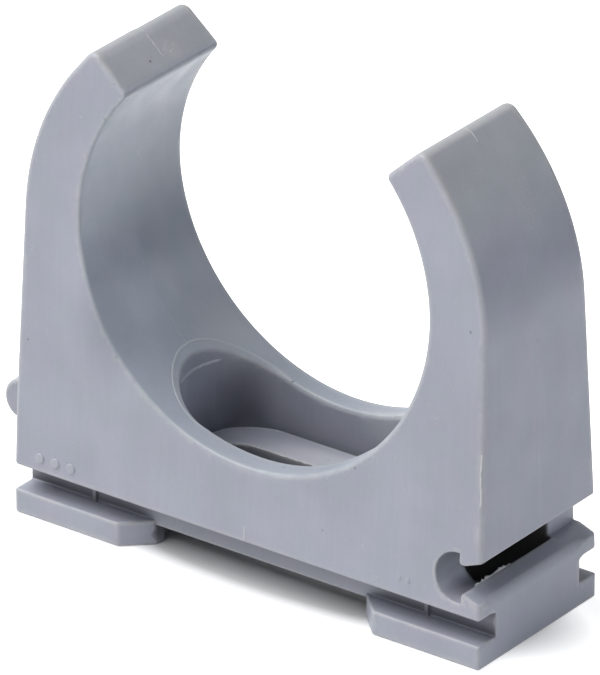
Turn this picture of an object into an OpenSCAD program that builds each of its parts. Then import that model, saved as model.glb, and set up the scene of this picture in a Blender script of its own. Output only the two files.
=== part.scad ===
// Conduit clip: one moulding with a spring cradle, a screw pocket, rail feet and a side link.
// X runs across the conduit, Y along it and Z up from the mounting surface.
// The origin is on the screw's axis, in the plane of the feet. Sizes are in millimetres.

/* [Conduit seat] */
// Outside diameter of the conduit that the cradle grips
conduit_d = 32; // [25:1:50]
// How far the cradle's radius is under the conduit's, for the grip
grip = 0.15; // [0:0.05:0.4]
// Drop of the arms' inner curve below the cradle's centre, which narrows the mouth
grip_drop = 0.1; // [0:0.05:0.3]
// Height of the cradle's lowest line above the mounting surface
seat_height = 10.15; // [9.5:0.05:14]
// Angle of the tip faces above the level of the conduit's centre
tip_angle = 42; // [30:0.2:50]

/* [Arms] */
// Wall beside the conduit, at the level of its centre
side_wall = 5.15; // [4.4:0.05:7]
// Slope of the outer sides above their upright foot, in degrees
side_draft = 1.4; // [0:0.05:2]
// Height up to which these sides stand upright
upright_h = 9; // [9:0.5:12]
// Distance from the middle to the centre of an arm's outer curve
arm_offset = 1.25; // [0.5:0.05:2]
// Drop from the conduit's centre to the centre of that curve
arm_drop = 1.15; // [0.5:0.05:2]
// Radius of the outer corner of a tip
tip_round = 0.8; // [0.5:0.1:1.6]
// Radius of the corner where the conduit snaps past a tip
snap_round = 0.5; // [0.2:0.1:0.9]

/* [Body] */
// Depth along the conduit, at the body's underside
body_depth = 14.75; // [13:0.05:24]
// Slope of the front and back faces, in degrees
face_draft = 2.9; // [0:0.1:3]

/* [Feet and rail grooves] */
// Thickness of the foot flanges
foot_h = 2; // [1.5:0.1:3]
// Height of the rail grooves
groove_h = 2; // [1.5:0.1:3]
// Depth of the rail grooves
groove_depth = 2.1; // [1:0.1:2.4]
// Distance from the middle to a foot's inner end
foot_inner = 9.67; // [6:0.1:11]
// Height of the web's underside between the feet
web_base = 1.6; // [0.5:0.1:1.9]
// Distance from the middle to the small ribs in the grooves
rib_x = 15.3; // [12:0.1:16]
// Width of these ribs
rib_w = 0.4; // [0.3:0.1:1]
// How far these ribs stand out of the neck
rib_proud = 0.3; // [0.2:0.05:0.6]

/* [Hollow base] */
// Wall on each side of the hollow, at the feet's soles
neck_wall = 1.1; // [0.8:0.1:1.6]
// Slope of the hollow's long walls, in degrees
core_draft = 3.8; // [1:0.1:5]
// Wall between the hollow and the outer sides
end_wall = 1.75; // [1.4:0.1:2.4]
// Wall between the cradle and the raised ends of the hollow
seat_wall = 4.9; // [3:0.1:6]
// Room above the link socket in the hollow's raised ends
core_headroom = 3; // [1:0.1:4]

/* [Screw pocket] */
// Length of the pocket across the conduit
pocket_l = 20.3; // [16:0.1:22]
// Width of the pocket along the conduit
pocket_w = 9.9; // [8:0.1:10.4]
// Depth of the pocket below the cradle's lowest line
pocket_depth = 3.7; // [2:0.05:4]
// Thickness of the pocket's floor
pocket_floor = 2; // [1.4:0.1:2.4]
// Wall beyond the ends of the pocket
pocket_wall = 2; // [1.2:0.1:3]
// Width of the pad on each round end of the pocket
pad_w = 4.6; // [2:0.1:6]
// How far these pads stand out of the pocket's wall
pad_proud = 0.15; // [0.05:0.05:0.5]
// Height of these pads above the pocket's floor
pad_h = 5.9; // [2:0.1:6.5]
// Length of the screw slot
slot_l = 15.9; // [8:0.1:16.4]
// Width of the screw slot
slot_w = 3.5; // [3:0.1:5]

/* [Side link] */
// Height of the link's axis above the mounting surface
link_height = 7; // [6.7:0.05:8]
// Radius of the socket
socket_r = 2; // [1.7:0.05:2.2]
// Distance from the body's side to the socket's axis
socket_inset = 2.1; // [1.9:0.05:2.4]
// Clear width of the socket's throat
throat_w = 2.27; // [1.9:0.01:2.6]
// Flare of the throat on each side, in degrees
throat_flare = 21; // [5:1:25]
// Radius of the throat's inner corners
throat_round = 0.25; // [0.1:0.05:0.4]
// Radial room between the socket and a neighbour's nub
nub_play = 0.3; // [0.1:0.05:0.5]
// Room on each side of the nub's neck in the throat
neck_play = 0.2; // [0.05:0.05:0.4]
// Room at each end of a neighbour's nub in the hollow
nub_end_play = 0.25; // [0.1:0.05:1]
// Gap between the sides of two linked clips
link_gap = 0.2; // [0:0.05:0.5]

/* [Hidden] */

$fn = 128;
SKIN = 1;      // how far a cutting shape reaches past what it cuts
SEAM = 0.02;   // how far joined shapes reach into each other
KISS = 0.001;  // how far the arm's curve stands past the side that it continues

bore_r = conduit_d / 2 - grip;
bore_z = seat_height + bore_r;
body_z = foot_h + groove_h;
neck_depth = body_depth - 2 * groove_depth;
arm_z = bore_z - arm_drop;
arm_r = (side_x(arm_z) - arm_offset) * cos(side_draft) + KISS;
top_z = arm_z + arm_r;
pocket_z = seat_height - pocket_depth;
core_half = neck_depth / 2 - neck_wall;
core_end = side_x(link_height) - end_wall;
core_top = link_height + socket_r + core_headroom;
socket_x = side_x(link_height) - socket_inset;
nub_r = socket_r - nub_play;
nub_x = -(side_x(link_height) + socket_inset + link_gap);
nub_half = core_y(link_height + nub_r) - nub_end_play;

// Half width of the outside at a height
function side_x(z) = bore_r + side_wall + (bore_z - max(z, upright_h)) * tan(side_draft);
// Half depth of the body at a height
function face_y(z) = body_depth / 2 - (z - body_z) * tan(face_draft);
// Half depth of the hollow at a height
function core_y(z) = core_half - z * tan(core_draft);
// Point at a distance and an angle from a centre
function polar(centre, r, angle) = centre + r * [cos(angle), sin(angle)];
// Distance along a ray from the origin at which it meets a circle
function ray_to_circle(angle, shift, centre, r) =
    let (dir = [cos(angle), sin(angle)],
         from = shift * [sin(angle), -cos(angle)] - centre,
         b = from * dir)
    -b + sqrt(b * b - from * from + r * r);

// An outline in X and Z, stretched along the conduit
module along_y(length) {
    rotate([90, 0, 0]) linear_extrude(length, center = true) children();
}

// An outline in Y and Z, stretched across the conduit
module along_x(length) {
    rotate([90, 0, 90]) linear_extrude(length, center = true) children();
}

// The same shape on the left and on the right
module both_sides() {
    children();
    mirror([1, 0, 0]) children();
}

// Outline of a slot with round ends, along X
module obround(length, width) {
    square([length - width, width], center = true);
    for (side = [-1, 1])
        translate([side * (length - width) / 2, 0]) circle(d = width);
}

// What a round of radius r removes at a corner between two tangent points
module corner_cut(centre, r, start, corner, end) {
    difference() {
        polygon([centre, start, corner, end]);
        translate(centre) circle(r);
    }
}

// Body between its upright foot and the arms, in X and Z
module side_outline() {
    end_z = arm_z + arm_r * sin(side_draft);
    polygon([
        [-side_x(0), body_z], [side_x(0), body_z], [side_x(0), upright_h],
        [side_x(end_z), end_z], [-side_x(end_z), end_z], [-side_x(0), upright_h]
    ]);
}

// Rounds the outer corner of the right arm's tip
module tip_corner() {
    centre = [arm_offset, -arm_drop];
    along = ray_to_circle(tip_angle, tip_round, centre, arm_r - tip_round);
    round_c = polar([0, 0], along, tip_angle) + tip_round * [sin(tip_angle), -cos(tip_angle)];
    reach = round_c - centre;
    on_curve = centre + reach * arm_r / norm(reach);
    on_face = polar([0, 0], along, tip_angle);
    beyond = on_face + on_curve - round_c;
    translate([0, bore_z]) corner_cut(round_c, tip_round, on_face, beyond, on_curve);
}

// Rounds the inner corner of the right arm's tip
module snap_corner() {
    centre = [0, -grip_drop];
    along = ray_to_circle(tip_angle, snap_round, centre, bore_r + snap_round);
    round_c = polar([0, 0], along, tip_angle) + snap_round * [sin(tip_angle), -cos(tip_angle)];
    reach = round_c - centre;
    on_face = polar([0, 0], along, tip_angle);
    on_bore = centre + reach * bore_r / norm(reach);
    beyond = on_face + on_bore - round_c;
    translate([0, bore_z]) corner_cut(round_c, snap_round, on_face, beyond, on_bore);
}

// The open space above the conduit, between the two tip faces
module mouth_outline() {
    far = 2 * arm_r;
    translate([0, bore_z]) polygon([
        [0, 0], polar([0, 0], far, tip_angle),
        [0, far * 2], polar([0, 0], far, 180 - tip_angle)
    ]);
}

// The cradle and the space between the arms, which close in a little towards the tips
module bore_outline() {
    intersection() {
        translate([0, bore_z]) circle(bore_r);
        translate([0, bore_z - grip_drop]) circle(bore_r);
    }
}

// Body and arms seen along the conduit, without the bore
module cradle_outline() {
    difference() {
        union() {
            side_outline();
            both_sides() translate([arm_offset, arm_z]) circle(arm_r);
        }
        mouth_outline();
        both_sides() {
            tip_corner();
            snap_corner();
        }
    }
}

// Body with its two spring arms; the front and back faces lean in towards the top
module cradle() {
    intersection() {
        along_y(body_depth) cradle_outline();
        along_x(2 * (bore_r + side_wall) + 4 * SKIN) polygon([
            [-face_y(body_z), body_z], [face_y(body_z), body_z],
            [face_y(top_z), top_z], [-face_y(top_z), top_z]
        ]);
    }
}

// Neck between the rail grooves, with a small rib on each side of each groove
module neck() {
    translate([0, 0, web_base]) linear_extrude(body_z - web_base + SEAM) polygon([
        [-side_x(0), -neck_depth / 2], [side_x(0), -neck_depth / 2],
        [side_x(0), neck_depth / 2], [-side_x(0), neck_depth / 2]
    ]);
    for (x = [-rib_x, rib_x])
        translate([x - rib_w / 2, -neck_depth / 2 - rib_proud, foot_h - SEAM])
            cube([rib_w, neck_depth + 2 * rib_proud, groove_h + 2 * SEAM]);
}

// One foot: two flanges with slanted inner ends, joined below the neck
module foot() {
    linear_extrude(foot_h) polygon([
        [foot_inner, -neck_depth / 2],
        [foot_inner + groove_depth, -body_depth / 2],
        [side_x(0), -body_depth / 2],
        [side_x(0), body_depth / 2],
        [foot_inner + groove_depth, body_depth / 2],
        [foot_inner, neck_depth / 2]
    ]);
}

// Hollow open below: low under the pocket, high at the ends and curved round the cradle
module base_hollow() {
    mid_end = pocket_l / 2 + pocket_wall;
    mid_top = pocket_z - pocket_floor;
    intersection() {
        along_y(body_depth) union() {
            translate([-core_end, -SKIN]) square([2 * core_end, mid_top + SKIN]);
            both_sides() difference() {
                translate([mid_end, -SKIN]) square([core_end - mid_end, core_top + SKIN]);
                translate([0, bore_z]) circle(bore_r + seat_wall);
            }
        }
        along_x(2 * core_end + SKIN) polygon([
            [-core_y(-SKIN), -SKIN], [core_y(-SKIN), -SKIN],
            [core_y(core_top), core_top + SKIN], [-core_y(core_top), core_top + SKIN]
        ]);
    }
}

// Low pads that thicken the round ends of the pocket
module pocket_pads() {
    both_sides() difference() {
        translate([0, -pad_w / 2]) square([pocket_l / 2, pad_w]);
        obround(pocket_l - 2 * pad_proud, pocket_w - 2 * pad_proud);
    }
}

// Recess for the screw's head, with a pad in each round end, and the slot in its floor
module screw_pocket() {
    pads_top = pocket_z + pad_h;
    translate([0, 0, pads_top]) linear_extrude(bore_z - pads_top) obround(pocket_l, pocket_w);
    translate([0, 0, pocket_z]) linear_extrude(pad_h + SEAM) difference() {
        obround(pocket_l, pocket_w);
        pocket_pads();
    }
    linear_extrude(bore_z) obround(slot_l, slot_w);
}

// Flared mouth of the link socket, between its two lips
module throat_outline() {
    lip_x = core_end;
    open_x = side_x(0) + SKIN;
    half = throat_w / 2;
    flare = (open_x - lip_x - throat_round) * tan(throat_flare);
    difference() {
        polygon([
            [lip_x - SEAM, -half - throat_round], [lip_x, -half - throat_round],
            [lip_x + throat_round, -half], [open_x, -half - flare],
            [open_x, half + flare], [lip_x + throat_round, half],
            [lip_x, half + throat_round], [lip_x - SEAM, half + throat_round]
        ]);
        for (side = [-1, 1])
            translate([lip_x + throat_round, side * (half + throat_round)]) circle(throat_round);
    }
}

// Socket for a neighbour's nub: it enters from the front and stops at the back wall
module link_socket() {
    translate([0, 0, link_height]) {
        along_y(body_depth + 2 * SKIN) throat_outline();
        translate([0, -body_depth / 4 - SKIN, 0])
            along_y(body_depth / 2 + 2 * SKIN) intersection() {
                translate([socket_x, 0]) circle(socket_r);
                translate([0, -socket_r]) square([core_end, 2 * socket_r]);
            }
    }
}

// Nub on the left side that slides into a neighbour's socket
module link_nub() {
    neck_half = throat_w / 2 - neck_play;
    root_x = -core_end;
    translate([0, 0, link_height]) along_y(2 * nub_half) {
        translate([nub_x, 0]) circle(nub_r);
        translate([nub_x, -neck_half]) square([root_x - nub_x, 2 * neck_half]);
    }
}

// The whole moulding
module clip() {
    color("#A6A9B4") {
        difference() {
            union() {
                cradle();
                neck();
                both_sides() foot();
            }
            along_y(body_depth + 2 * SKIN) bore_outline();
            base_hollow();
            screw_pocket();
            link_socket();
        }
        difference() {
            link_nub();
            base_hollow();
        }
    }
}

clip();
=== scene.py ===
"""Looks of the conduit clip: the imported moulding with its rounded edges, moulding marks and satin plastic."""

import math

import bmesh
import bpy
import numpy as np
import openvdb as vdb
from mathutils import Matrix, Vector


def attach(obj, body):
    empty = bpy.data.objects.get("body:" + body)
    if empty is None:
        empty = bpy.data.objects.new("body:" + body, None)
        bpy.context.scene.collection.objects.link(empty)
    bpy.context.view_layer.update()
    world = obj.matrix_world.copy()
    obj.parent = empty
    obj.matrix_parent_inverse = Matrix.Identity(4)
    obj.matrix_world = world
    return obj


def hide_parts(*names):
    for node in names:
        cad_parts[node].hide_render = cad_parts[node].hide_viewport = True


MM = 0.001

# Sizes of the moulding in mm, as in the CAD source
BORE_R = 15.85
BORE_Z = 26.0
GRIP_DROP = 0.3
SIDE_WALL = 5.15
TIP_LEFT, TIP_RIGHT = 41.4, 42.4  # the CAD source has their mean; the arms of the real clip aren't quite even
ARM_OFFSET = 1.25
ARM_Z = BORE_Z - 1.15
UPRIGHT_H = 9.0
SIDE_DRAFT = math.radians(1.4)
FACE_DRAFT = math.radians(2.9)
CORE_DRAFT = math.radians(3.8)
BODY_Z = 4.0
BODY_HALF = 7.375
NECK_HALF = 5.275
FOOT_INNER = 9.67
RIB_X = 15.3
POCKET_Z = 6.45
POCKET_FLOOR = 2.0
POCKET_L, POCKET_W = 20.3, 9.9
PAD_W, PAD_TOP = 4.6, POCKET_Z + 5.9
SLOT_L, SLOT_W = 15.9, 3.5
CORE_END = 19.665
CORE_HALF = NECK_HALF - 1.1
LINK_Z = 7.0
SOCKET_R = 2.0
SOCKET_X = CORE_END + 1.75 - 2.1
THROAT_HALF = 2.27 / 2
NUB_R = 1.7
NUB_X = -(CORE_END + 1.75 + 2.1 + 0.2)
NUB_NECK_HALF = THROAT_HALF - 0.2
NUB_HALF = 3.347

ADAPTIVITY = 0.02  # how freely flat parts of the mesh are made coarser


def side_x(z):
    """Half width of the outside at height z."""
    return BORE_R + SIDE_WALL + (BORE_Z - max(z, UPRIGHT_H)) * math.tan(SIDE_DRAFT)


ARM_R = (side_x(ARM_Z) - ARM_OFFSET) * math.cos(SIDE_DRAFT)


# Camera and light

CAMERA_PLACE = Vector((448.672, -602.521, 391.496)) * MM
CAMERA_AZIMUTH = 36.6902
CAMERA_ELEVATION = 26.4398
CAMERA_ROLL = -0.0874
CAMERA_LENS = 608.57
LOOK_AT = Vector((0, 0, 20)) * MM


def make_camera():
    data = bpy.data.cameras.new("camera")
    data.lens = CAMERA_LENS
    data.sensor_width = 36
    data.clip_start = 0.01
    data.clip_end = 50
    camera = bpy.data.objects.new("camera", data)
    bpy.context.scene.collection.objects.link(camera)
    a, e = math.radians(CAMERA_AZIMUTH), math.radians(CAMERA_ELEVATION)
    back = Vector((math.sin(a) * math.cos(e), -math.cos(a) * math.cos(e), math.sin(e)))
    right = Vector((math.cos(a), math.sin(a), 0))
    up = back.cross(right)
    roll = math.radians(CAMERA_ROLL)
    turned = right * math.cos(roll) + up * math.sin(roll)
    up = back.cross(turned)
    rotation = Matrix((turned, up, back)).transposed().to_4x4()
    camera.matrix_world = Matrix.Translation(CAMERA_PLACE) @ rotation
    bpy.context.scene.camera = camera


# Softboxes: name, azimuth (0 is in front, 90 to the right), elevation, distance, size, power in watts, colour.
# The two on the right are a little cooler, as in the photograph.
WHITE, COOL = (1, 1, 1), (0.94, 1.0, 1.10)
SOFTBOXES = [
    ("left", -90, 58, 0.7, 0.45, 3.3, WHITE),
    ("front", -30, 58, 0.7, 0.45, 3.5, WHITE),
    ("low_front", -10, 8, 0.7, 0.45, 0.65, WHITE),
    ("right", 80, 8, 0.7, 0.45, 0.9, COOL),
    ("back", 135, 8, 0.7, 0.45, 0.8, COOL),
]
AMBIENT = 0.02


def make_flag():
    """A dark card beside the clip that shows only in its gloss, as a studio's dark side does."""
    bm = bmesh.new()
    low, high = [], []
    for k in range(25):
        a = math.radians(95 + 80 * k / 24)
        out = Vector((math.sin(a), -math.cos(a), 0))
        low.append(bm.verts.new(out * 0.10))
        high.append(bm.verts.new(out * 0.34 + Vector((0, 0, 0.062))))
    for k in range(24):
        bm.faces.new((low[k], low[k + 1], high[k + 1], high[k]))
    mesh = bpy.data.meshes.new("flag")
    bm.to_mesh(mesh)
    bm.free()
    flag = bpy.data.objects.new("flag", mesh)
    bpy.context.scene.collection.objects.link(flag)
    material = bpy.data.materials.new("flag_black")
    material.use_nodes = True
    material.node_tree.nodes["Principled BSDF"].inputs["Base Color"].default_value = (0.02, 0.02, 0.02, 1)
    material.node_tree.nodes["Principled BSDF"].inputs["Roughness"].default_value = 1.0
    mesh.materials.append(material)
    flag.visible_camera = False
    flag.visible_diffuse = False
    flag.visible_transmission = False
    flag.visible_shadow = False


def make_lights():
    for name, azimuth, elevation, distance, size, power, colour in SOFTBOXES:
        data = bpy.data.lights.new(name, "AREA")
        data.color = colour
        data.shape = "SQUARE"
        data.size = size
        data.energy = power
        lamp = bpy.data.objects.new("softbox_" + name, data)
        bpy.context.scene.collection.objects.link(lamp)
        a, e = math.radians(azimuth), math.radians(elevation)
        out = Vector((math.sin(a) * math.cos(e), -math.cos(a) * math.cos(e), math.sin(e)))
        lamp.location = LOOK_AT + out * distance
        lamp.rotation_mode = "QUATERNION"
        lamp.rotation_quaternion = out.to_track_quat("Z", "Y")


def seen_directly(tree):
    """A socket that is 1 for rays of the camera and for rays by gloss or glass."""
    path = tree.nodes.new("ShaderNodeLightPath")
    add = tree.nodes.new("ShaderNodeMath")
    add.operation = "MAXIMUM"
    more = tree.nodes.new("ShaderNodeMath")
    more.operation = "MAXIMUM"
    tree.links.new(path.outputs["Is Camera Ray"], add.inputs[0])
    tree.links.new(path.outputs["Is Glossy Ray"], add.inputs[1])
    tree.links.new(add.outputs[0], more.inputs[0])
    tree.links.new(path.outputs["Is Transmission Ray"], more.inputs[1])
    return more.outputs[0]


def make_world():
    world = bpy.data.worlds.new("studio")
    bpy.context.scene.world = world
    world.use_nodes = True
    tree = world.node_tree
    tree.nodes.clear()
    out = tree.nodes.new("ShaderNodeOutputWorld")
    mix = tree.nodes.new("ShaderNodeMixShader")
    ambient = tree.nodes.new("ShaderNodeBackground")
    ambient.inputs["Color"].default_value = (1, 1, 1, 1)
    ambient.inputs["Strength"].default_value = AMBIENT
    white = tree.nodes.new("ShaderNodeBackground")
    white.inputs["Color"].default_value = (1, 1, 1, 1)
    white.inputs["Strength"].default_value = 1.0
    tree.links.new(seen_directly(tree), mix.inputs["Fac"])
    tree.links.new(ambient.outputs[0], mix.inputs[1])
    tree.links.new(white.outputs[0], mix.inputs[2])
    tree.links.new(mix.outputs[0], out.inputs["Surface"])


FLOOR_GLOW = 0.8


def make_floor():
    bm = bmesh.new()
    bmesh.ops.create_grid(bm, x_segments=1, y_segments=1, size=6.0)
    mesh = bpy.data.meshes.new("floor")
    bm.to_mesh(mesh)
    bm.free()
    floor = bpy.data.objects.new("floor", mesh)
    floor.location = (0, 0, -0.02 * MM)
    bpy.context.scene.collection.objects.link(floor)
    material = bpy.data.materials.new("floor_white")
    material.use_nodes = True
    tree = material.node_tree
    tree.nodes.clear()
    out = tree.nodes.new("ShaderNodeOutputMaterial")
    diffuse = tree.nodes.new("ShaderNodeBsdfDiffuse")
    diffuse.inputs["Color"].default_value = (0.8, 0.8, 0.8, 1)
    glow = tree.nodes.new("ShaderNodeEmission")
    place = tree.nodes.new("ShaderNodeTexCoord")
    across = tree.nodes.new("ShaderNodeVectorMath")
    across.operation = "DIVIDE"
    across.inputs[1].default_value = (26 * MM, 9 * MM, 1)
    away = tree.nodes.new("ShaderNodeVectorMath")
    away.operation = "LENGTH"
    open_floor = tree.nodes.new("ShaderNodeMapRange")
    open_floor.inputs["From Min"].default_value = 0.7
    open_floor.inputs["From Max"].default_value = 1.0
    open_floor.inputs["To Max"].default_value = FLOOR_GLOW
    scale = tree.nodes.new("ShaderNodeMath")
    scale.operation = "MULTIPLY"
    add = tree.nodes.new("ShaderNodeAddShader")
    tree.links.new(place.outputs["Object"], across.inputs[0])
    tree.links.new(across.outputs[0], away.inputs[0])
    tree.links.new(away.outputs["Value"], open_floor.inputs["Value"])
    tree.links.new(seen_directly(tree), scale.inputs[0])
    tree.links.new(open_floor.outputs[0], scale.inputs[1])
    tree.links.new(scale.outputs[0], glow.inputs["Strength"])
    tree.links.new(diffuse.outputs[0], add.inputs[0])
    tree.links.new(glow.outputs[0], add.inputs[1])
    tree.links.new(add.outputs[0], out.inputs["Surface"])
    mesh.materials.append(material)


# The moulding
#
# The piece is the CAD solid written as one function of distance, so that every edge and inner corner has its
# own small radius, as a mould gives it. All its sizes are in mm and the same as in the CAD source.


def both(a, b, r):
    """What is inside a and inside b, with the edge between them rounded to radius r."""
    return np.minimum(np.maximum(a, b), -r) + np.hypot(np.maximum(a + r, 0), np.maximum(b + r, 0))


def either(a, b, r):
    """What is inside a or inside b, with the inner corner between them filled to radius r."""
    return -both(-a, -b, r)


def bevelled(a, b, depth, width, r):
    """What is inside a and inside b, with the edge cut off flat: a width on a's side, a depth on b's."""
    slant = (a * width + b * depth + depth * width) / np.hypot(depth, width)
    return both(both(a, slant, r), b, 2 * r)


def step(value, width):
    """A smooth step from 0 to 1 over a width round value 0."""
    t = np.clip(value / width + 0.5, 0, 1)
    return t * t * (3 - 2 * t)


def slot_shape(x, y, length, width):
    return np.hypot(np.maximum(np.abs(x) - (length - width) / 2, 0), y) - width / 2


def outer_side(x, z):
    """Distance from the outer sides: upright, then leaning, then the arm's curve."""
    lean = (x - (BORE_R + SIDE_WALL + (BORE_Z - z) * math.tan(SIDE_DRAFT))) * math.cos(SIDE_DRAFT)
    side = np.maximum(lean, x - side_x(0))
    curve = np.hypot(x - ARM_OFFSET, z - ARM_Z) - ARM_R
    return np.where(z - ARM_Z > (x - ARM_OFFSET) * math.tan(SIDE_DRAFT), curve, side)


def cradle_shape(x, y, z):
    """The body and its arms without the faces: outer sides, tip faces and the cradle, which closes in upwards."""
    ax = np.abs(x)
    tip = np.radians(np.where(x < 0, TIP_LEFT, TIP_RIGHT))
    tip_face = -np.sin(tip) * ax + np.cos(tip) * (z - BORE_Z)
    bore = BORE_R - np.hypot(ax, z - BORE_Z + GRIP_DROP * step(z - BORE_Z, 8))
    mismatch = 0.05 * step(-y, 0.16) * step(z - 38, 1)
    return both(both(outer_side(ax, z) - mismatch, tip_face, 0.8), bore, 0.5)


def nub_shape(x, y, z):
    disc = np.hypot(x - NUB_X, z - LINK_Z) - NUB_R
    neck = np.maximum(np.abs(z - LINK_Z) - NUB_NECK_HALF, np.maximum(NUB_X - x, x + 20.6))
    return both(either(disc, neck, 0.15), np.abs(y) - NUB_HALF, 0.25)


def hollow_shape(x, y, z):
    low = np.maximum(z - (POCKET_Z - POCKET_FLOOR), -z - 3)
    ends = both(both(12.15 - x, z - 12.0, 0.3), BORE_R + 4.9 - np.hypot(x, z - BORE_Z), 0.3)
    outline = both(np.minimum(low, ends), x - CORE_END, 0.2)
    walls = (np.abs(y) - (CORE_HALF - z * math.tan(CORE_DRAFT))) * math.cos(CORE_DRAFT)
    return both(outline, walls, 0.25)


def link_cut(x, y, z, hollow):
    """Socket, hollow and throat as one cut, with the lips' inner corners rounded."""
    rise = np.abs(z - LINK_Z)
    flare = math.radians(21)
    straight = rise - THROAT_HALF
    flared = (rise - THROAT_HALF - (x - CORE_END - 0.25) * math.tan(flare)) * math.cos(flare)
    lip = CORE_END - 0.25 * np.maximum(step(z - LINK_Z, 0.6), step(y - 3, 1))
    throat = np.maximum(np.minimum(straight, flared), lip - x)
    socket = np.maximum(np.hypot(x - SOCKET_X, z - LINK_Z) - SOCKET_R, np.maximum(x - lip, y))
    return either(np.minimum(hollow, socket), throat, 0.25)


def moulding_shape(x, y, z):
    """Distance from the moulding's surface, less than 0 inside it. Everything is in mm."""
    ax, ay = np.abs(x), np.abs(y)
    face = (ay - (BODY_HALF - (z - BODY_Z) * math.tan(FACE_DRAFT))) * math.cos(FACE_DRAFT)
    body = both(face, BODY_Z - z, 0.28)
    neck = np.maximum(ay - NECK_HALF, z - BODY_Z - 0.8)
    rib = np.maximum(np.maximum(ay - NECK_HALF - 0.3, z - BODY_Z - 0.3), 1.7 - z)
    rib = both(rib, np.abs(ax - RIB_X) - 0.2, 0.1)
    section = both(either(body, neck, 0.1), 1.6 - z, 0.1)
    rim = step(BORE_R + 1.2 - np.hypot(x, z - BORE_Z), 1.0) * step(-y, 2) * step(-x, 6)
    edge_r = 0.15 + 0.21 * step(np.maximum(z - 4.3, ay - 5.6), 0.5) * (1 - 0.7 * rim)
    upper = both(cradle_shape(x, y, z), section, edge_r)
    flange = both(ay - BODY_HALF, np.abs(z - 1) - 1, 0.15 + 0.1 * step(1 - z, 0.8))
    foot = either(flange, np.maximum(ay - NECK_HALF, np.maximum(0.3 - z, z - 3)), 0.1)
    inner = both(FOOT_INNER - ax, (FOOT_INNER - NECK_HALF + ay - ax) / math.sqrt(2), 0.1)
    foot = both(both(foot, inner, 0.14), ax - side_x(0), 0.15 + 0.15 * step(1.9 - z, 0.4))
    part = np.minimum(np.minimum(upper, foot), rib)
    pad = step(PAD_W / 2 - ay, 0.9) * step(PAD_TOP - z, 0.12) * (ax > 6)
    pocket = both(slot_shape(x, y, POCKET_L, POCKET_W) + 0.15 * pad, POCKET_Z - z, 0.06)
    hollow = hollow_shape(ax, y, z)
    worn_lip = step(x - CORE_END - 1.0, 0.5) * step(LINK_Z - z, 0.5) * step(y + 6.4, 0.8) * step(5.6 - y, 1.6)
    part = both(part, -link_cut(x, y, z, hollow), 0.1 + 0.45 * worn_lip)
    part = both(part, -hollow, 0.1)
    part = bevelled(part, -pocket, 0.16, 0.16 + 0.36 * step(ax - 6.5, 5), 0.08)
    part = both(part, -slot_shape(x, y, SLOT_L, SLOT_W), 0.08)
    return either(part, nub_shape(x, y, z), 0.12)


def sampled(voxel, low, count, block=8):
    """The shape's distance on a grid. Only the blocks near the surface are worked out in full."""
    blocks = [-(-n // block) for n in count]
    centres = [low[i] + (np.arange(blocks[i]) * block + block / 2) * voxel for i in range(3)]
    rough = moulding_shape(*(g.ravel() for g in np.meshgrid(*centres, indexing="ij"))).reshape(blocks)
    near = np.abs(rough) < voxel * block * 0.9 + 0.35
    field = np.repeat(np.repeat(np.repeat(np.sign(rough), block, 0), block, 1), block, 2).astype(np.float32)
    inside = np.arange(block)
    offsets = np.stack(np.meshgrid(inside, inside, inside, indexing="ij"), -1).reshape(-1, 3)
    where = np.argwhere(near)
    for start in range(0, len(where), 4000):
        cells = where[start : start + 4000, None, :] * block + offsets[None]
        points = cells * voxel + np.array(low)
        value = moulding_shape(points[..., 0], points[..., 1], points[..., 2])
        field[cells[..., 0], cells[..., 1], cells[..., 2]] = value
    return field


def gradient(points, h=0.004):
    """Direction of the surface's normal at each point."""
    out = np.empty_like(points)
    for axis in range(3):
        shift = np.zeros(3)
        shift[axis] = h
        ahead, behind = (points + shift).T, (points - shift).T
        out[:, axis] = moulding_shape(*ahead) - moulding_shape(*behind)
    return out / (2 * h)


def surface_at(points):
    """Points moved onto the moulding's surface, and the normals there."""
    points = np.array(points, float)
    for _ in range(12):
        slope = gradient(points)
        points -= moulding_shape(*points.T)[:, None] * slope / np.maximum((slope**2).sum(1), 0.2)[:, None]
    normals = gradient(points)
    return points, normals / np.linalg.norm(normals, axis=1)[:, None]


def bend(mesh_edges, points, normals):
    """Curvature at each point: above 0 on rounded edges, below 0 in inner corners."""
    a, b = mesh_edges.T
    run = points[b] - points[a]
    turn = ((normals[b] - normals[a]) * run).sum(1) / np.maximum((run**2).sum(1), 1e-6)
    total = np.bincount(a, turn, len(points)) + np.bincount(b, turn, len(points))
    return total / np.maximum(np.bincount(a, minlength=len(points)) + np.bincount(b, minlength=len(points)), 1)


def occlusion_shade(points, normals):
    """How closed in each point is, for the painted shade in corners and grooves: 0 in the open and near 1 deep in a
    corner or a groove.
    """
    near = 1 - moulding_shape(*(points + 0.9 * normals).T) / 0.9
    far = np.clip(1 - moulding_shape(*(points + 2.6 * normals).T) / 2.6, 0, 1)
    wide = np.clip(1 - moulding_shape(*(points + 7 * normals).T) / 7, 0, 1)
    low = 0.45 + 0.55 * step(4.6 - points[:, 2], 1)
    level = 1 - np.maximum(normals[:, 2], 0)
    return np.clip((low * (0.5 * near + 0.8 * far) + 0.45 * wide) * level, 0, 1)


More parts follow.
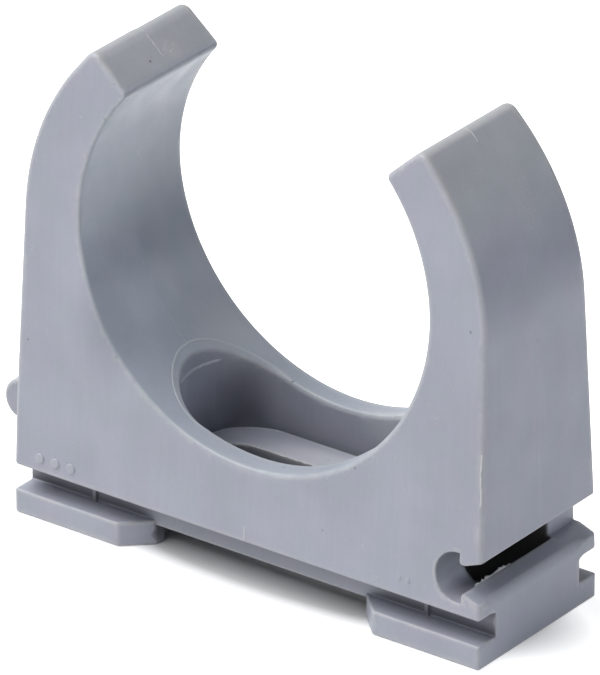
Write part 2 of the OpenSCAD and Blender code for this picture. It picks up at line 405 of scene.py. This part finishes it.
def make_moulding(material):
    voxel = 0.1
    low = (-25.63, -7.64, -0.43)  # off the round values, so that no flat side lies on the grid
    high = (21.7, 7.6, 39.2)
    count = [int((b - a) / voxel) + 1 for a, b in zip(low, high)]
    grid = vdb.FloatGrid()
    grid.copyFromArray(sampled(voxel, low, count))
    points, triangles, quads = grid.convertToPolygons(isovalue=0.0, adaptivity=ADAPTIVITY)
    points = points.astype(float) * voxel + np.array(low)
    for _ in range(3):
        slope = gradient(points)
        move = moulding_shape(*points.T)[:, None] * slope / np.maximum((slope**2).sum(1), 0.2)[:, None]
        points -= np.clip(move, -voxel / 2, voxel / 2)
    normals = gradient(points)
    normals /= np.maximum(np.linalg.norm(normals, axis=1), 1e-9)[:, None]
    faces = [tuple(f) for f in triangles.tolist()] + [tuple(f) for f in quads.tolist()]
    mesh = bpy.data.meshes.new("moulding")
    mesh.from_pydata((points * MM).tolist(), [], faces)
    mesh.validate()
    mesh.shade_smooth()
    mesh.normals_split_custom_set_from_vertices(normals.tolist())
    ends = np.empty(len(mesh.edges) * 2, int)
    mesh.edges.foreach_get("vertices", ends)
    curve = bend(ends.reshape(-1, 2), points, normals)
    # Mask for the painted shade inside the hollow and, fainter, in the slot
    inside = step(0.2 - hollow_shape(np.abs(points[:, 0]), points[:, 1], points[:, 2]), 0.3)
    slot = step(0.15 - slot_shape(points[:, 0], points[:, 1], SLOT_L, SLOT_W), 0.2)
    slot *= step(POCKET_Z - 0.25 - points[:, 2], 0.3)
    masks = {
        "edge": np.clip(curve / 1.6, 0, 1),
        "occlusion_shade": occlusion_shade(points, normals),
        "inside": np.maximum(inside, 0.3 * slot),
    }
    for name, value in masks.items():
        mesh.attributes.new(name, "FLOAT", "POINT").data.foreach_set("value", value.astype(np.float32))
    mesh.materials.append(material)
    piece = bpy.data.objects.new("moulding", mesh)
    bpy.context.scene.collection.objects.link(piece)
    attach(piece, "root")
    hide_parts("clip")
    return piece


def ridge(bm, points, half_width, heights, tone=0.35):
    """A low rounded ridge laid along the surface, closed below and running out at both ends. Tone 1 is palest."""
    points, normals = surface_at(points)
    along = np.gradient(points, axis=0)
    along /= np.linalg.norm(along, axis=1)[:, None]
    across = np.cross(along, normals)
    profile = [(-1, -0.7), (-1, -0.04), (-0.55, 0.6), (0, 1), (0.55, 0.6), (1, -0.04), (1, -0.7)]
    rings = []
    for i, place in enumerate(points):
        ring = []
        for u, v in profile:
            rise = v * heights[i] if v > 0 else v * half_width
            ring.append(bm.verts.new((place + u * half_width * across[i] + rise * normals[i]) * MM))
            ring[-1][bm.verts.layers.float["flash"]] = tone
        rings.append(ring)
    for one, two in zip(rings, rings[1:]):
        for k in range(len(profile)):
            n = (k + 1) % len(profile)
            bm.faces.new((one[k], one[n], two[n], two[k]))
    bm.faces.new(rings[0][::-1])
    bm.faces.new(rings[-1])


def pip(bm, x, z, radius, height):
    """A low round pip with a flat top, standing on the front face."""
    centre, normal = surface_at([(x, -BODY_HALF, z)])
    centre, normal = centre[0], normal[0]
    side = np.array([1.0, 0, 0])
    up = np.cross(normal, side)
    profile = [(1.02, -0.6), (1, 0), (0.97, 0.45), (0.88, 0.85), (0.74, 1), (0.4, 1.03)]
    rings = []
    for r, h in profile:
        ring = []
        for k in range(24):
            a = 2 * math.pi * k / 24
            place = centre + radius * r * (math.cos(a) * side + math.sin(a) * up) + h * height * normal
            ring.append(bm.verts.new(place * MM))
        rings.append(ring)
    for one, two in zip(rings, rings[1:]):
        for k in range(24):
            n = (k + 1) % 24
            bm.faces.new((one[k], one[n], two[n], two[k]))
    bm.faces.new(rings[0][::-1])
    bm.faces.new(rings[-1])


def arch(count, power=0.5):
    """Heights that run out to 0 at both ends."""
    return np.sin(np.linspace(0.03, math.pi - 0.03, count)) ** power


def make_marks(material):
    """What the mould leaves: parting lines, thin flash, a centre mark and plain pips where a clip has its marks."""
    rng = np.random.default_rng(7)
    bm = bmesh.new()
    bm.verts.layers.float.new("flash")

    def line(turn, count=40):
        return np.linspace(turn[0], turn[1], count)

    # Parting line over the left tip, over the right tip's outer corner, down the cradle and down the right side
    tip = math.radians(TIP_LEFT)
    r = line((19.5, 16.9))
    wave = 0.03 * np.sin(r * 9)
    ridge(bm, np.stack([-r * math.cos(tip), wave, BORE_Z + r * math.sin(tip)], 1), 0.07, 0.05 * arch(40, 0.6), 0.15)
    a = np.radians(line((47.4, 42.7)))
    ridge(bm, np.stack([ARM_OFFSET + ARM_R * np.cos(a), 0 * a, ARM_Z + ARM_R * np.sin(a)], 1), 0.07, 0.07 * arch(40, 0.6))
    a = np.radians(line((206, 228), 60))
    ridge(bm, np.stack([BORE_R * np.cos(a), 0.04 * np.sin(a * 30), BORE_Z + BORE_R * np.sin(a)], 1), 0.06, 0.02 * arch(60), 0.12)
    z = line((9.6, 24), 50)
    ridge(bm, np.stack([0 * z + side_x(0), 0 * z, z], 1), 0.08, 0.012 * arch(50), 0)
    ridge(bm, np.stack([0 * z + side_x(0), 0 * z + 0.32, z], 1), 0.06, 0.006 * arch(50), 0)

    # Thin flash on the front right edge, a wavy line
    t = line((0, 1), 60)
    z = 17.4 - 4.2 * t
    wave = 0.17 * np.sin(t * 9 + 1) + 0.06 * np.sin(t * 31)
    ridge(bm, np.stack([0 * z + side_x(0) - 0.05 + wave, 0 * z - BODY_HALF - wave, z], 1), 0.065, (0.11 + 0.03 * np.sin(t * 23)) * arch(60, 0.6), 0.75)

    # Torn flash along the lower lip of the socket's throat
    y = line((-5.6, -1.2), 70)
    rough = np.interp(y, np.linspace(-5.6, -1.2, 24), rng.uniform(0.05, 0.30, 24)) * arch(70, 0.3)
    ridge(bm, np.stack([0 * y + CORE_END + 0.1, y, 0 * y + LINK_Z - THROAT_HALF - 0.05], 1), 0.06, rough, 0.8)

    # Flash along the back edge of the screw slot
    x = line((-5.6, 5.6), 110)
    rough = 0.03 + np.interp(x, np.linspace(-5.6, 5.6, 40), rng.uniform(0.0, 0.14, 40))
    ridge(bm, np.stack([x, 0 * x + SLOT_W / 2 + 0.04, 0 * x + POCKET_Z], 1), 0.05, rough * arch(110, 0.3), 0.8)

    # Witness line of the mould's insert round both ends of the pocket
    turn = np.radians(line((-96, 96), 70))
    out = POCKET_W / 2 + 0.54 * np.maximum(np.cos(0.93 * turn), 0.02) ** 0.4
    for end in (-1, 1):
        x = end * ((POCKET_L - POCKET_W) / 2 + out * np.cos(turn))
        y = out * np.sin(turn)
        ridge(bm, np.stack([x, y, BORE_Z - np.sqrt(BORE_R**2 - x**2)], 1), 0.12, 0.03 * arch(70, 0.8), 0.25)

    # Centre mark and pips on the front face
    z = line((4.25, 5.35), 16)
    ridge(bm, np.stack([0 * z + 0.06, 0 * z - BODY_HALF, z], 1), 0.09, 0.06 * arch(16, 0.3))
    for x in (-19.0, -17.55, -16.1):
        pip(bm, x, 5.2, 0.42, 0.11)
    for x in (14.1, 14.95):
        pip(bm, x, 5.5, 0.2, 0.07)

    bmesh.ops.recalc_face_normals(bm, faces=bm.faces)
    mesh = bpy.data.meshes.new("mould_marks")
    bm.to_mesh(mesh)
    bm.free()
    mesh.shade_smooth()
    # The marks get a middling pale-edge value: partly wear, partly painted highlight
    mesh.attributes.new("edge", "FLOAT", "POINT").data.foreach_set("value", [0.4] * len(mesh.vertices))
    mesh.materials.append(material)
    piece = bpy.data.objects.new("mould_marks", mesh)
    bpy.context.scene.collection.objects.link(piece)
    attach(piece, "root")
    return piece


class Nodes:
    """Short ways to add and join shader nodes."""

    def __init__(self, tree):
        self.tree = tree

    def add(self, kind, inputs=None, **settings):
        node = self.tree.nodes.new(kind)
        for name, value in settings.items():
            setattr(node, name, value)
        for key, value in (inputs or {}).items():
            if isinstance(value, bpy.types.NodeSocket):
                self.tree.links.new(value, node.inputs[key])
            else:
                node.inputs[key].default_value = value
        return node

    def math(self, operation, a, b=0.0, clamp=False):
        return self.add("ShaderNodeMath", {0: a, 1: b}, operation=operation, use_clamp=clamp).outputs[0]

    def span(self, value, low, high, out_low=0.0, out_high=1.0, soft=True):
        inputs = {"Value": value, "From Min": low, "From Max": high, "To Min": out_low, "To Max": out_high}
        kind = "SMOOTHSTEP" if soft else "LINEAR"
        return self.add("ShaderNodeMapRange", inputs, interpolation_type=kind).outputs["Result"]

    def noise(self, vector, scale, detail=2.0, roughness=0.5):
        inputs = {"Vector": vector, "Scale": scale, "Detail": detail, "Roughness": roughness}
        return self.add("ShaderNodeTexNoise", inputs).outputs["Fac"]

    def blend(self, fac, a, b, mode="MIX"):
        node = self.add("ShaderNodeMix", data_type="RGBA", blend_type=mode)
        for key, value in ((0, fac), (6, a), (7, b)):
            if isinstance(value, bpy.types.NodeSocket):
                self.tree.links.new(value, node.inputs[key])
            else:
                node.inputs[key].default_value = value
        return node.outputs[2]

    def mask(self, name):
        return self.add("ShaderNodeAttribute", attribute_name=name, attribute_type="GEOMETRY").outputs["Fac"]

    def patch(self, place, centre, turn, size, soft=0.6):
        """1 inside an egg-shaped patch round a centre, falling off to 0 at its rim. Sizes are in mm."""
        moved = self.add("ShaderNodeVectorMath", {0: place, 1: centre}, operation="SUBTRACT").outputs[0]
        turned = self.add("ShaderNodeVectorRotate", {"Vector": moved, "Rotation": turn}, rotation_type="EULER_XYZ")
        scaled = self.add("ShaderNodeVectorMath", {0: turned.outputs[0], 1: size}, operation="DIVIDE").outputs[0]
        away = self.add("ShaderNodeVectorMath", {0: scaled}, operation="LENGTH").outputs["Value"]
        return self.span(away, 1.0, 1.0 - soft, 0.0, 1.0)


def make_plastic():
    """Satin grey plastic. Lengths in the nodes are in mm: the object's own coordinates times 1000."""
    material = bpy.data.materials.new("satin_grey_plastic")
    material.use_nodes = True
    tree = material.node_tree
    shader = tree.nodes["Principled BSDF"]
    n = Nodes(tree)
    own = n.add("ShaderNodeTexCoord").outputs["Object"]
    place = n.add("ShaderNodeVectorMath", {0: own, "Scale": 1000.0}, operation="SCALE").outputs[0]

    # Colour: cooler and warmer clouds, faint flow marks and a slow change of tone
    clouds = n.noise(place, 0.34, 2.0)
    colour = n.blend(n.span(clouds, 0.38, 0.62), (0.356, 0.379, 0.444, 1), (0.371, 0.380, 0.453, 1))
    tone = n.span(n.noise(place, 0.13, 2.0), 0.3, 0.7, 0.95, 1.05)
    flow_place = n.add("ShaderNodeVectorMath", {0: place, 1: (1.4, 1.4, 0.09)}, operation="MULTIPLY").outputs[0]
    flow = n.span(n.noise(flow_place, 1.6, 3.0, 0.6), 0.3, 0.7, 0.985, 1.015)
    tone = n.math("MULTIPLY", tone, flow)
    grain = n.noise(place, 7.0, 2.0, 0.6)
    tone = n.math("MULTIPLY", tone, n.span(grain, 0.25, 0.75, 0.975, 1.025))
    colour = n.blend(1.0, colour, n.add("ShaderNodeCombineColor", {0: tone, 1: tone, 2: tone}).outputs[0], "MULTIPLY")

    # Wear and painted light: rounded edges are paler, unevenly, partly from wear and partly as a painted highlight; a
    # few rubbed places, one of them a painted sheen on the bore; a painted sheen and a painted shade elsewhere on the
    # bore; and hairline scratches
    edge = n.mask("edge")
    uneven = n.span(n.noise(place, 0.9, 4.0, 0.65), 0.3, 0.7, 0.35, 1.0)
    wear_and_highlight = n.math("MULTIPLY", n.span(edge, 0.10, 0.7), uneven)
    # Pale edges: partly edge wear, partly a painted highlight along the rounded edges
    colour = n.blend(n.math("MULTIPLY", wear_and_highlight, 0.5), colour, (0.54, 0.535, 0.535, 1))
    colour = n.blend(n.math("MULTIPLY", n.mask("flash"), 0.9), colour, (0.72, 0.72, 0.71, 1))
    speckle = n.span(n.noise(place, 5.0, 3.0, 0.7), 0.45, 0.7)
    rubs_and_sheen = n.patch(place, (18.9, 1.6, 33.6), (0, 0.55, 0.2), (1.6, 1.7, 4.4))
    rubs_and_sheen = n.math("MAXIMUM", rubs_and_sheen, n.patch(place, (-12.8, 1.1, 37.3), (0, 0, 0), (1.2, 1.1, 1.2)))
    # The third patch, on the bore's lower left, is a painted sheen, lightened like the rubbed places
    rubs_and_sheen = n.math("MAXIMUM", rubs_and_sheen, n.patch(place, (-15.2, -4.2, 30.0), (0, 0.3, 0), (1.5, 2.2, 3.2)))
    rubbed_and_sheen = n.math("MULTIPLY", rubs_and_sheen, n.span(speckle, 0.0, 1.0, 0.25, 1.0))
    colour = n.blend(n.math("MULTIPLY", rubbed_and_sheen, 0.40), colour, (0.56, 0.57, 0.62, 1))
    # Painted sheen: a lighter patch on the bore's back left, standing in for a soft reflection
    sheen = n.patch(place, (-10.0, 4.2, 13.8), (0, 0, 0), (4.5, 4.5, 5.0), 0.9)
    colour = n.blend(n.math("MULTIPLY", sheen, 0.5), colour, (0.56, 0.57, 0.62, 1))
    # Painted shade: the bore near its front rim is darkened, as if less light reached it
    bore_rim_shade = n.patch(place, (-13.2, -5.6, 17.2), (0, 0, 0), (4.0, 4.0, 6.0), 0.9)
    colour = n.blend(n.math("MULTIPLY", bore_rim_shade, 0.5), colour, (0.16, 0.18, 0.22, 1))
    hair = n.math("ABSOLUTE", n.math("SUBTRACT", n.noise(place, 0.55, 1.0), 0.5))
    hair = n.math("MULTIPLY", n.span(hair, 0.006, 0.001), n.span(n.noise(place, 0.8, 2.0), 0.60, 0.66))
    colour = n.blend(n.math("MULTIPLY", hair, 0.35), colour, (0.55, 0.56, 0.60, 1))

    # Painted shade: the tips' upper and outer faces and the arms' outer sides near them are made a little greener and
    # darker than the rest; the cradle's surface is made a little bluer
    parts = n.add("ShaderNodeSeparateXYZ", {0: place}).outputs
    facing = n.add("ShaderNodeSeparateXYZ", {0: n.add("ShaderNodeTexCoord").outputs["Normal"]}).outputs
    from_axis = n.add("ShaderNodeCombineXYZ", {0: parts[0], 2: n.math("SUBTRACT", parts[2], BORE_Z)}).outputs[0]
    from_axis = n.add("ShaderNodeVectorMath", {0: from_axis}, operation="LENGTH").outputs["Value"]
    tip_shade = n.math("MULTIPLY", n.span(parts[2], 30.0, 37.0), n.span(from_axis, BORE_R + 0.1, BORE_R + 0.6))
    tip_shade = n.math("MULTIPLY", tip_shade, n.span(n.math("ABSOLUTE", facing[1]), 0.8, 0.3))
    colour = n.blend(tip_shade, colour, (0.93, 0.925, 0.85, 1), "MULTIPLY")
    cradle = n.span(from_axis, BORE_R + 0.3, BORE_R + 0.05)
    colour = n.blend(cradle, colour, (0.94, 0.98, 0.98, 1), "MULTIPLY")

    # Specks of dirt, nicks and chips on the left tip, painted light on the pocket's floor and back wall, painted
    # shade in corners, grooves and beside the pad, and the inner walls painted dark as shade
    dots = n.add("ShaderNodeTexVoronoi", {"Vector": place, "Scale": 0.40, "Randomness": 1.0})
    rare = n.span(n.add("ShaderNodeSeparateColor", {0: dots.outputs["Color"]}).outputs[0], 0.74, 0.76)
    dark_dots = n.math("MULTIPLY", n.span(dots.outputs["Distance"], 0.055, 0.03), rare)
    colour = n.blend(n.math("MULTIPLY", dark_dots, 0.65), colour, (0.10, 0.10, 0.11, 1))
    named = n.patch(place, (-12.8, -1.45, 37.35), (0, 0, 0), (0.14, 0.14, 0.14), 0.5)
    named = n.math("MAXIMUM", named, n.patch(place, (-12.78, -0.53, 35.07), (0, 0, 0), (0.12, 0.12, 0.12), 0.5))
    nicked = n.patch(place, (-12.9, -1.3, 37.4), (0, 0, 0), (0.55, 0.4, 0.4), 0.7)
    fine = n.span(n.noise(place, 6.0, 2.0, 0.7), 0.55, 0.62)
    named = n.math("MAXIMUM", named, n.math("MULTIPLY", n.math("MULTIPLY", nicked, fine), 0.7))
    chips = n.patch(place, (-12.9, 0.9, 37.4), (0, 0, 0), (0.6, 0.6, 0.6), 0.7)
    chips = n.math("MULTIPLY", chips, n.span(n.noise(place, 5.0, 2.0, 0.7), 0.56, 0.62))
    colour = n.blend(n.math("MULTIPLY", chips, 0.7), colour, (0.62, 0.62, 0.62, 1))
    colour = n.blend(n.math("MULTIPLY", named, 0.85), colour, (0.06, 0.06, 0.07, 1))
    # Painted light: the pocket's floor and its right back wall are lightened where the lamps reach them too little
    pocket_light_patch = n.patch(place, (2.0, 0, 6.4), (0, 0, 0), (10.5, 7.0, 0.8), 0.5)
    pocket_light_patch = n.math("MAXIMUM", pocket_light_patch, n.patch(place, (7.0, 5.0, 10.0), (0, 0, 0), (7.0, 1.2, 3.4), 0.8))
    colour = n.blend(n.math("MULTIPLY", pocket_light_patch, 0.42), colour, (0.62, 0.62, 0.64, 1))
    # Painted shade in the corner beside the pad, added to the closed-in shade
    pad_corner_shade = n.patch(place, (-8.3, 4.0, 9.0), (0, 0, 0), (3.2, 2.4, 4.4), 0.9)
    shade_amount = n.math("ADD", n.mask("occlusion_shade"), n.math("MULTIPLY", pad_corner_shade, 0.5))
    # Painted shade: the colour is darkened where the surface is closed in, as in corners and grooves
    shade = n.span(shade_amount, 0.08, 1.0, 1.0, 0.36, soft=False)
    colour = n.blend(1.0, colour, n.add("ShaderNodeCombineColor", {0: shade, 1: shade, 2: shade}).outputs[0], "MULTIPLY")
    # Painted shade: the hollow's inner walls and, fainter, the slot's walls are darkened nearly to black, as they lie
    # in shade
    colour = n.blend(n.math("MULTIPLY", n.mask("inside"), 0.9), colour, (0.040, 0.038, 0.036, 1))
    tree.links.new(colour, shader.inputs["Base Color"])

    # Gloss: satin, duller where worn and rubbed
    gloss = n.span(n.noise(place, 0.45, 3.0), 0.3, 0.7, 0.36, 0.46)
    gloss = n.math("ADD", gloss, n.math("MULTIPLY", n.math("SUBTRACT", grain, 0.5), 0.12))
    gloss = n.math("ADD", gloss, n.math("MULTIPLY", n.math("MAXIMUM", wear_and_highlight, rubbed_and_sheen), 0.12))
    gloss = n.math("SUBTRACT", gloss, n.math("MULTIPLY", cradle, 0.07))
    gloss = n.math("ADD", gloss, n.math("MULTIPLY", n.mask("inside"), 0.3), clamp=True)
    tree.links.new(gloss, shader.inputs["Roughness"])

    # Relief in mm: the mould's fine texture, slight waves and the scratches
    relief = n.math("MULTIPLY", grain, 0.0035)
    relief = n.math("ADD", relief, n.math("MULTIPLY", n.noise(place, 2.6, 2.0), 0.004))
    relief = n.math("ADD", relief, n.math("MULTIPLY", n.noise(place, 0.35, 1.0), 0.05))
    relief = n.math("SUBTRACT", relief, n.math("MULTIPLY", hair, 0.006))
    relief = n.math("ADD", relief, n.math("MULTIPLY", n.math("MULTIPLY", rubs_and_sheen, speckle), 0.010))
    bump = n.add("ShaderNodeBump", {"Strength": 1.0, "Distance": MM, "Height": relief})
    tree.links.new(bump.outputs[0], shader.inputs["Normal"])
    return material


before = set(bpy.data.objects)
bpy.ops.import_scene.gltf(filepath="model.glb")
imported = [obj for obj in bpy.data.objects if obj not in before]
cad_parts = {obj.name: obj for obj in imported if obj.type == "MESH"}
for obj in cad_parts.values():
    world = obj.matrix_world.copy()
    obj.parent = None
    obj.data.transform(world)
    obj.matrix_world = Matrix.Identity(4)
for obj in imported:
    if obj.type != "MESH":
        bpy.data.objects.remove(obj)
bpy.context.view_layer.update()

make_camera()
make_lights()
make_flag()
make_world()
make_floor()
plastic = make_plastic()
make_moulding(plastic)
make_marks(plastic)

bpy.context.scene.view_settings.view_transform = "Standard"
